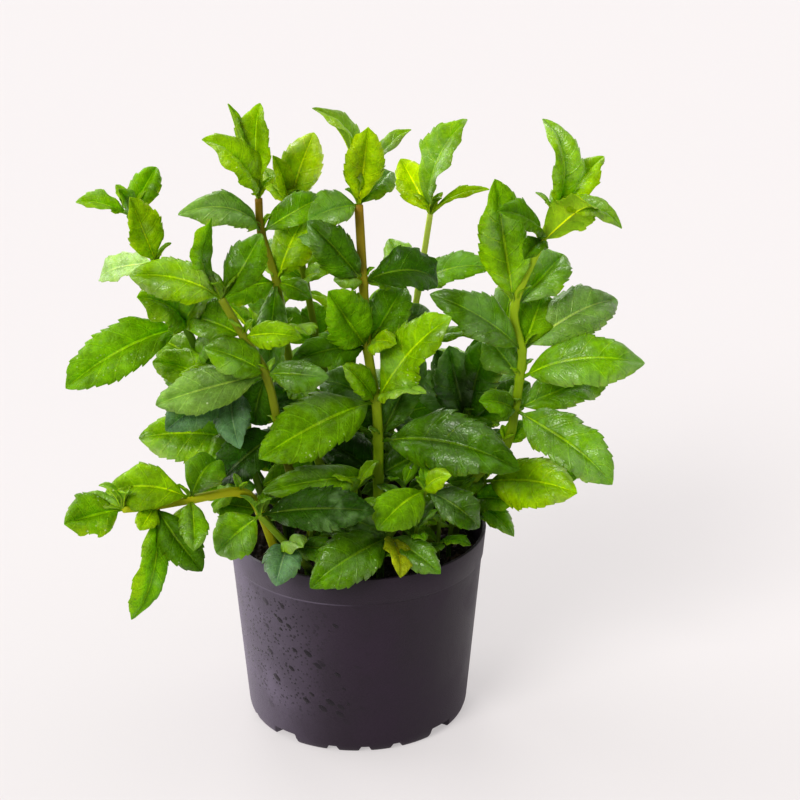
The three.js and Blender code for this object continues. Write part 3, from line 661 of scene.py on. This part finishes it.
def leaf_skin(base, plan, colour, random):
    """A leaf over a grid, across from -1 to 1 and along from 0 at the stem to 1 at the tip.

    Midrib = base + chord * along + normal * 4 bow along (1 - along), a little bent and twisted.
    The margin is the blade's shape with forward teeth, each rising slowly and ending in a notch.
    Height over the fold = |across| * half * sin(fold), plus the swelling between side veins, plus waves.
    How wet the whole leaf is, for its gloss and its painted sheen, from 0 to 1, is a squared sine of its
    tip's place, so that leaves differ.
    """
    x, y, z, width, bearing, bow, *rest = plan
    fold = math.radians(rest[0] if rest else FOLD)
    chord = np.array([x, y, z], float) - base
    length = np.linalg.norm(chord)
    forward = chord / length
    facing = math.radians(bearing)
    normal = np.array([math.sin(facing), -math.cos(facing), 1.0])
    normal = unit(normal - forward * (normal @ forward))
    side = np.cross(normal, forward)

    teeth = int(np.clip(round(length / TOOTH), 3, 13))
    ticks = np.array([0.0, 0.4, 0.75, 0.95])
    blade = np.append((np.arange(teeth)[:, None] + ticks).ravel() / teeth, 1.0)
    tick = np.append(np.tile(ticks / ticks[-1], teeth), 1.0)
    blade = np.concatenate([[-0.1, -0.05], blade])
    tick = np.concatenate([[1.0, 1.0], tick])
    share = np.clip(PETIOLE + (1 - PETIOLE) * blade, 0, 1)
    share[0] = 0
    across = np.linspace(0, 1, 5 if length < SMALL_LEAF else 8 if length < FULL_LEAF else 11)[1:] ** 0.9
    across = np.concatenate([-across[::-1], [0], across])

    t, s, sharp = (row[:, None] * np.ones_like(across) for row in (np.clip(blade, 0, 1), share, tick))
    u = across * np.ones_like(t)
    spread = np.abs(u)

    cut = random.uniform(0.5, 1.2, teeth + 1)[np.clip((blade * teeth).astype(int), 0, teeth)][:, None]
    wide = 0.5 * width * blade_shape(t)
    wide = wide * (1 - TOOTH_DEPTH * cut * ease(0.0, 0.12, t) * (1 - sharp) ** 1.2 * spread**5)
    half = np.maximum(wide, np.where(t < 0.5, 0.9, 0.25))
    lean = TOOTH_LEAN * length / teeth * cut * sharp**2 * spread**6 * ease(0.0, 0.15, t) * (1 - t)

    count = 6 if length > LONG_LEAF else 5
    vein = count * (t - 0.2 * spread) + np.where(u > 0, 0.3, 0)
    swell = np.abs(np.sin(np.pi * vein)) ** 0.7 * ease(0.02, 0.3, spread) * (1 - spread**4)
    relief = VEIN_SWELL * width * swell * ease(0.02, 0.15, t) * ease(0, 0.2, 1 - t)
    ends = ease(0, 0.2, t) * ease(0, 0.2, 1 - t)
    slow, quick = random.uniform(1.0, 1.8), random.uniform(2.6, 4.2)
    phase = random.uniform(0, 2 * np.pi, (4, 1, 1))
    wave = np.sin(2 * np.pi * slow * t + np.where(u > 0, phase[0], phase[1]))
    frill = np.sin(2 * np.pi * quick * t + np.where(u > 0, phase[2], phase[3]))
    relief = relief + width * ends * (WAVE * wave * spread**2 + FRILL * frill * spread**4)
    arch = random.uniform(0.04, 0.12) * width
    curl = random.uniform(-0.2, 0.03) * width
    relief = relief + ends * (arch * spread * (1 - spread) * 4 + curl * spread**3)
    droop = random.uniform(-0.03, 0.1) * length * np.sin(np.pi * t) * t
    bend = random.uniform(-0.03, 0.03) * length * np.sin(np.pi * s)
    twist = random.uniform(-0.28, 0.28) * (t - 0.3)

    rise = half * math.sin(fold) * (np.sqrt(spread**2 + FOLD_SOFT) - FOLD_DIP) + relief + droop
    out = u * half * math.cos(fold) + bend
    out, rise = out * np.cos(twist) - rise * np.sin(twist), out * np.sin(twist) + rise * np.cos(twist)

    slope = 4 * bow * (1 - 2 * s) / length
    raised = unit(normal - slope[..., None] * forward)
    middle = base + chord * s[..., None] + normal * (4 * bow * s * (1 - s))[..., None]
    top = middle + side * out[..., None] + forward * lean[..., None]
    top = top + raised * (rise + SKIN_RISE)[..., None]
    rib = np.exp(-((u * half / RIB_WIDTH) ** 2))
    thick = SKIN + RIB * rib * (1 - 0.7 * t)
    bottom = top - raised * thick[..., None]

    rows, columns = t.shape
    points = np.concatenate([top.reshape(-1, 3), bottom.reshape(-1, 3)])
    upper = grid_quads(rows, columns)
    lower = upper[:, ::-1] + rows * columns
    rim = np.concatenate([
        np.arange(columns - 1),
        np.arange(rows - 1) * columns + columns - 1,
        rows * columns - 1 - np.arange(columns - 1),
        (rows - 1 - np.arange(rows - 1)) * columns,
    ])
    after = np.roll(rim, -1)
    edge = np.stack([after, rim, rim + rows * columns, after + rows * columns], axis=1)

    warm = (0.6 - np.tile(t.ravel(), 2))[:, None] * np.array([0.1, 0.05, 0])
    tint = linear(colour) * (1 + random.uniform(-0.08, 0.08)) * (1 + warm)
    wet_and_sheen = math.sin(12.9 * x + 78.2 * y + 37.7 * z) ** 2
    marks = {
        "wet_and_sheen": np.full(len(points), wet_and_sheen),
        "across": np.tile(u.ravel(), 2),
        "along": np.tile(t.ravel(), 2),
        "veins": np.full(len(points), float(count)),
        "under": np.repeat([0.0, 1.0], rows * columns),
        "stem": np.tile(1 - ease(-0.06, 0.02, np.repeat(blade, columns)), 2),
    }
    return points, np.concatenate([upper, lower, edge]), np.empty((0, 3), int), marks, tint


def curve_through(places, count):
    """Points along a uniform Catmull-Rom curve through the places, with its ends carried straight on."""
    places = np.vstack([2 * places[0] - places[1], places, 2 * places[-1] - places[-2]])
    spot = np.linspace(0, len(places) - 3 - 1e-9, count)
    step = spot.astype(int)
    part = (spot - step)[:, None]
    a, b, c, d = (places[step + offset] for offset in range(4))
    return 0.5 * (
        2 * b + (c - a) * part + (2 * a - 5 * b + 4 * c - d) * part**2
        + (3 * b - a - 3 * c + d) * part**3
    )


def stem_skin(radius, places, low, high):
    """A square stem with rounded corners: |a|^4 + |b|^4 = 1 across it.

    It is thinner upwards, swollen at its nodes, and closed by a fan at each end.
    """
    places = np.array(places, float)
    count = STEM_STEPS * (len(places) - 1) + 1
    line = curve_through(places, count)
    share = np.linspace(0, 1, count)
    foot = np.array([[*places[0][:2], STEM_FOOT], [*places[0][:2], STEM_BEND]])
    line = np.vstack([foot, line])
    share = np.concatenate([[0, 0], share])
    forward = unit(np.gradient(line, axis=0))
    side = unit(np.array([0, 1, 0]) - forward * forward[:, 1:2])
    other = np.cross(forward, side)
    size = radius * (1 + (STEM_TIP - 1) * share)
    gap = np.abs(share * (len(places) - 1) - np.round(share * (len(places) - 1)))
    size = size * (1 + STEM_JOINT * np.exp(-((gap / 0.06) ** 2)) * (share > 0.05) * (share < 0.97))
    turn = np.linspace(0, 2 * np.pi, STEM_SIDES, endpoint=False)
    a = np.sign(np.cos(turn)) * np.abs(np.cos(turn)) ** 0.5
    b = np.sign(np.sin(turn)) * np.abs(np.sin(turn)) ** 0.5
    ring = side[:, None, :] * a[None, :, None] + other[:, None, :] * b[None, :, None]
    points = line[:, None, :] + ring * (STEM_SIDE * size)[:, None, None]
    rows, columns = points.shape[:2]
    tip = line[-1] + forward[-1] * size[-1] * 0.6
    points = np.vstack([points.reshape(-1, 3), line[0], tip])
    quads, fans = tube_faces(rows, columns)
    mix = np.append(np.repeat(share, columns), [0, 1])
    ripe = mix[:, None] ** 2
    tint = linear(low) * (1 - ripe) + linear(high) * ripe
    marks = dict.fromkeys(("across", "along", "veins", "under", "stem", "wet_and_sheen"), np.zeros(len(points)))
    return points, quads, fans, {**marks, "along": mix, "stem": np.ones(len(points))}, tint


def heading(bearing, out, up):
    """A way out at a bearing in degrees, and up."""
    angle = math.radians(bearing)
    return np.array([out * math.cos(angle), out * math.sin(angle), up])


def leaf_pair(place, turn, length, width, rise):
    """Two opposite leaves that both face their stem."""
    plans = []
    for bearing in (turn, turn + 180):
        tip = place + length * heading(bearing, 1, rise)
        plans.append([*tip, width, bearing - 90, PAIR_BOW * length])
    return plans


def young_leaves(place, count, size, random):
    """Small folded leaves that stand round a node of the stem, each with its face towards it."""
    plans = []
    turn = random.uniform(0, 360)
    for step in range(count):
        bearing = turn + 360 * step / count + random.uniform(-20, 20)
        reach = size * random.uniform(0.75, 1.2)
        tip = place + reach * heading(bearing, YOUNG_OUT, YOUNG_UP)
        plans.append([*tip, YOUNG_WIDTH * reach, bearing - 90, PAIR_BOW * reach, YOUNG_FOLD])
    return plans


def press_back(points):
    """Points further forward than FRONT keep only FRONT_SHARE of what they pass it by."""
    past = np.minimum(points[:, 1] - FRONT, 0)
    return points - past[:, None] * np.array([0, 1 - FRONT_SHARE, 0])


def make_greenery(name, skins):
    """Skins of stems and leaves as one mesh: each skin's faces count on from the points before it."""
    points, quads, fans, marks, tints = zip(*skins)
    starts = np.cumsum([0] + [len(group) for group in points])
    quads, fans = (
        np.concatenate([group + start for group, start in zip(groups, starts)])
        for groups in (quads, fans)
    )
    marks = {key: np.concatenate([group[key] for group in marks]) for key in marks[0]}
    return make_piece(name, press_back(np.concatenate(points)), [quads, fans], foliage, marks,
                      np.concatenate(tints), crease=FOLIAGE_CREASE)


def make_shoot(name, order):
    """One stem and its leaves as one mesh, with young leaves in each fork and at the tip."""
    radius, codes, low, high, nodes = SHOOTS[name]
    random = np.random.default_rng(SHOOT_SEED + order)
    colours, grown = iter(codes.replace(" ", "")), []
    for place, *leaves in nodes:
        if leaves and not isinstance(leaves[0], list):
            leaves = leaf_pair(np.array(place, float), *leaves)
        grown += [(place, plan, next(colours)) for plan in leaves]
    code = min(max(codes[-1], "4"), "7")
    for place, *_ in nodes[2:]:
        count, size = TIP_LEAVES if place == nodes[-1][0] else FORK_LEAVES
        small = young_leaves(np.array(place, float), count, size, random)
        grown += [(place, plan, code) for plan in small]
    skins = [stem_skin(STEM_FULL * radius, [node[0] for node in nodes], low, high)]
    for place, plan, code in INNER_LEAVES.get(name, []):
        grown.append((nodes[place][0] if isinstance(place, int) else place, plan, code))
    for place, plan, code in grown:
        skins.append(leaf_skin(np.array(place, float), plan, GREENS[code], random))
    piece = make_greenery(f"leafy_{name}", skins)
    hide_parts(f"shoot_{name}")


def make_sprouts():
    """Short leafy sprouts on the soil, as one mesh. Each has three pairs of leaves, set crosswise."""
    random = np.random.default_rng(SPROUT_SEED)
    skins = []
    for x, y, turn, tall in SPROUTS:
        lean = random.uniform(-0.25, 0.25, 2)
        places = [np.array([x + lean[0] * rise, y + lean[1] * rise, SPROUT_FOOT + rise])
                  for rise in tall * np.array([0, 0.4, 0.75, 1])]
        skins.append(stem_skin(SPROUT_RADIUS, places, *SPROUT_STEM))
        for step, place in enumerate(places[1:]):
            length = tall * random.uniform(0.5, 0.66) * (1 - 0.2 * step)
            rise = random.uniform(0.1, 0.3) + 0.3 * step
            for plan in leaf_pair(place, turn + 90 * step, length, 0.58 * length, rise):
                code = str(random.integers(2, 5) + step // 2)
                skins.append(leaf_skin(place, plan, GREENS[code], random))
    piece = make_greenery("low_sprouts", skins)


# ---------------------------------------------------------------- pot and soil


def wall_radius(z):
    """The wall's outer radius at a height: a straight line from the foot's corner up to under the rim."""
    share = (z - CORNER_HEIGHT) / (POT_HEIGHT - CORNER_HEIGHT)
    return CORNER_RADIUS + (RIM_RADIUS - BAND_STEP - CORNER_RADIUS) * share


def notch_height(turn):
    """How high the foot is cut away at an angle in degrees: a flat-topped step for each notch."""
    height = np.zeros_like(turn)
    for middle, half, tall in NOTCHES:
        away = np.abs((turn - middle + NOTCH_REPEAT / 2) % NOTCH_REPEAT - NOTCH_REPEAT / 2)
        height = np.maximum(height, tall * ease(0, 1, (half - away) / NOTCH_SLOPE))
    return height


def pot_floor():
    """The floor as six sectors, each a ring from its drain hole out to the sector's own border.

    Each ring's point = hole edge * (1 - k) + border * k, at the same share of the way round.
    """
    points, faces = [], []
    wide = math.radians(360 / DRAIN_HOLES)
    side = np.linspace(0, 1, FLOOR_STEPS, endpoint=False)
    flat = np.ones(FLOOR_STEPS)
    inner, outer = CENTRE_HOLE, FOOT_INSIDE + 0.4
    radius = np.concatenate([
        outer * flat, outer + (inner - outer) * side, inner * flat, inner + (outer - inner) * side,
    ])
    shares = np.array([0, 0.15, 1, 1, 0.15, 0])
    heights = np.repeat([FLOOR_TOP, FLOOR_UNDER], 3)
    rows, columns = len(shares), len(radius)
    ring = grid_quads(rows, columns, ring_rows=True, ring_columns=True)[:, ::-1]
    for step in range(DRAIN_HOLES):
        begin = wide * step
        angle = begin + wide * np.concatenate([side, flat, 1 - side, 0 * flat])
        border = np.stack([radius * np.cos(angle), radius * np.sin(angle)], axis=1)
        middle = DRAIN_RING * np.array([math.cos(begin + wide / 2), math.sin(begin + wide / 2)])
        hole = middle + DRAIN_RADIUS * unit(border - middle)
        level = hole + (border - hole) * shares[:, None, None]
        tall = np.broadcast_to(heights[:, None, None], (rows, columns, 1))
        points.append(np.concatenate([level, tall], axis=-1).reshape(-1, 3))
        faces.append(ring + step * rows * columns)
    return np.concatenate(points), np.concatenate(faces)


def pot_section():
    """Foot, wall, band, lip and inside as radius and height, and how many points the foot has.

    The foot's corner is a quadratic curve: start (1 - k)^2 + control 2k (1 - k) + end k^2.
    """
    k = np.linspace(0, 1, 9)[:, None]
    start, control, end = np.array([(FOOT_RADIUS, 0.15), CORNER_CONTROL, (CORNER_RADIUS, CORNER_HEIGHT)])
    foot = [
        (FOOT_INSIDE - 1, FLOOR_UNDER), (FOOT_INSIDE - 0.1, 0.3), (FOOT_INSIDE + 0.2, 0),
        (FOOT_RADIUS - 0.3, 0),
        *(start * (1 - k) ** 2 + control * 2 * k * (1 - k) + end * k * k),
    ]
    wall = [(wall_radius(z), z) for z in np.linspace(CORNER_HEIGHT + 4, BAND_FOOT - 1, 16)]
    under = wall_radius(BAND_FOOT)
    band = [
        (under, BAND_FOOT - 0.15), (under + 0.35, BAND_FOOT), (under + BAND_STEP, BAND_FOOT + 0.4),
        (wall_radius(BAND_TOP) + BAND_STEP, BAND_TOP), (RIM_RADIUS, POT_HEIGHT - LIP_EASE),
    ]
    inner = RIM_RADIUS - WALL
    lip = [
        (RIM_RADIUS - 0.15, POT_HEIGHT - 0.15), (RIM_RADIUS - LIP_EASE, POT_HEIGHT), (inner, POT_HEIGHT),
        (inner - BAND_STEP + 0.2, POT_HEIGHT - 0.3), (inner - BAND_STEP, POT_HEIGHT - 1),
    ]
    inner = CORNER_RADIUS - WALL
    inside = [(wall_radius(z) - WALL, z) for z in (BAND_FOOT, 60, 35, 13)] + [
        (inner, 9.5), (inner - 1, FLOOR_TOP + 0.5), (inner - 2.5, FLOOR_TOP),
        (FOOT_INSIDE, FLOOR_TOP), (FOOT_INSIDE - 1, FLOOR_TOP),
    ]
    return np.array(foot + wall + band + lip + inside), len(foot)


def make_pot():
    """The pot's section carried round its axis. Over a notch, the foot's points rise to its height."""
    section, held = pot_section()
    turn = [np.arange(0, 360, 1.5)]
    for middle, half, _ in NOTCHES:
        for share in (0, 0.25, 0.5, 1):
            edge = half - share * NOTCH_SLOPE
            for quarter in range(0, 360, NOTCH_REPEAT):
                turn.append(np.array([middle - edge, middle + edge]) + quarter)
    turn = np.unique(np.round(np.concatenate(turn) % 360, 2))
    height = section[:, 1:] * np.ones_like(turn)
    height[:held] = np.maximum(height[:held], notch_height(turn))
    angle = np.radians(turn)
    points = np.stack([section[:, :1] * np.cos(angle), section[:, :1] * np.sin(angle), height], axis=-1)
    rows, columns = points.shape[:2]
    shell = grid_quads(rows, columns, ring_rows=True, ring_columns=True)
    floor_points, floor_faces = pot_floor()
    piece = make_piece(
        "nursery_pot", np.concatenate([points.reshape(-1, 3), floor_points]),
        [np.concatenate([shell, floor_faces + rows * columns])], plastic, crease=35,
    )
    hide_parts("pot")


def make_soil():
    """A plug with a crumbly top and a plain side.

    The top's height is a shallow dome, low humps, and the sum of ever finer waves in many directions.
    """
    random = np.random.default_rng(SOIL_SEED)
    rim = wall_radius(SOIL_TOP) - WALL - SOIL_GAP
    radius = rim * np.sqrt(np.linspace(0, 1, SOIL_RINGS))[1:, None]
    angle = np.linspace(0, 2 * np.pi, SOIL_STEPS, endpoint=False)
    x, y = radius * np.cos(angle), radius * np.sin(angle)
    height = SOIL_TOP - 3 * (radius / RIM_RADIUS) ** 4
    height = height + SOIL_HUMP * (np.sin(0.2 * x + 1) * np.cos(0.2 * y) + 0.6 * np.sin(0.4 * (x - y)))
    for wave in range(SOIL_WAVES):
        turn, phase = random.uniform(0, np.pi), random.uniform(0, 2 * np.pi)
        pace = 0.5 * 1.045**wave
        crest = np.sin(pace * (x * math.cos(turn) + y * math.sin(turn)) + phase)
        height = height + SOIL_CRUMB * crest / (1 + 0.02 * wave)
    bevel_in, bevel_up = SOIL_BEVEL
    low = wall_radius(SOIL_FOOT + bevel_up) - WALL - SOIL_GAP
    side = np.stack([np.cos(angle), np.sin(angle), np.zeros(SOIL_STEPS)], axis=-1)
    points = np.concatenate([
        np.stack([x, y, height], axis=-1),
        [side * low + [0, 0, SOIL_FOOT + bevel_up], side * (low - bevel_in) + [0, 0, SOIL_FOOT]],
    ])
    rows, columns = points.shape[:2]
    ends = [0, 0, SOIL_TOP + SOIL_HUMP * math.sin(1)], [0, 0, SOIL_FOOT]
    faces = [group[:, ::-1] for group in tube_faces(rows, columns)]
    piece = make_piece("soil_plug", np.vstack([points.reshape(-1, 3), *ends]), faces, earth)
    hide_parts("soil")


make_pot()
make_soil()
for order, name in enumerate(SHOOTS):
    make_shoot(name, order)
make_sprouts()


# ---------------------------------------------------------------- camera, floor and light

FLOOR_REACH = 12  # metres
SKY_COLOUR, SKY_STRENGTH = (1, 0.99, 0.985, 1), 0.24
CAMERA_PLACE, CAMERA_TILT = (0.0217, -1.0885, 0.6066), 68  # metres, and degrees from straight down
CAMERA_SENSOR, CAMERA_LENS = 36, 107.1


def make_floor():
    """A wide pale sheet that also glows a little itself, so that shadows on it stay faint."""
    material, nodes, place = make_material("pale sheet")
    tone = nodes.times(nodes.noise(place, FLOOR_PATCHES, 2, 0.5), 0.3)
    nodes.surface(
        Base_Color=nodes.mix(tone, (0.35, 0.335, 0.335, 1), (0.345, 0.33, 0.33, 1)), Roughness=0.9,
        Specular_IOR_Level=0, Emission_Color=(1, 0.958, 0.962, 1), Emission_Strength=0.4,
    )
    mesh = bpy.data.meshes.new("floor")
    corners = [(x * FLOOR_REACH, y * FLOOR_REACH, 0) for x, y in ((-1, -1), (1, -1), (1, 1), (-1, 1))]
    mesh.from_pydata(corners, [], [(0, 1, 2, 3)])
    mesh.materials.append(material)
    floor = add_object("floor", mesh)


def make_sun(name, strength, spread, tilt, turn, colour):
    """A broad soft light from far away.

    Its spread, its tilt from straight up and its turn about the vertical are in degrees.
    """
    data = bpy.data.lights.new(name, "SUN")
    data.energy = strength
    data.angle = math.radians(spread)
    data.color = colour
    add_object(name, data).rotation_euler = (math.radians(tilt), 0, math.radians(turn))


make_floor()
make_sun("above", 0.7, 90, 12, 150, (1, 0.99, 0.98))
make_sun("key", 1.9, 28, 54, -34, (1, 0.99, 0.975))
make_sun("side", 1.5, 50, 72, -112, (0.985, 0.985, 1))
make_sun("behind", 0.9, 30, 62, -168, (1, 1, 1))
make_sun("behind right", 0.5, 60, 66, 132, (1, 1, 1))

world = bpy.data.worlds.new("studio")
world.use_nodes = True
bpy.context.scene.world = world
sky = world.node_tree.nodes["Background"]
sky.inputs["Color"].default_value = SKY_COLOUR
sky.inputs["Strength"].default_value = SKY_STRENGTH

camera_data = bpy.data.cameras.new("camera")
camera_data.sensor_width = CAMERA_SENSOR
camera_data.lens = CAMERA_LENS
camera = add_object("camera", camera_data)
camera.location = CAMERA_PLACE
camera.rotation_euler = (math.radians(CAMERA_TILT), 0, 0)
bpy.context.scene.camera = camera
bpy.context.scene.view_settings.view_transform = "Standard"
bpy.context.scene.view_settings.look = "Medium High Contrast"
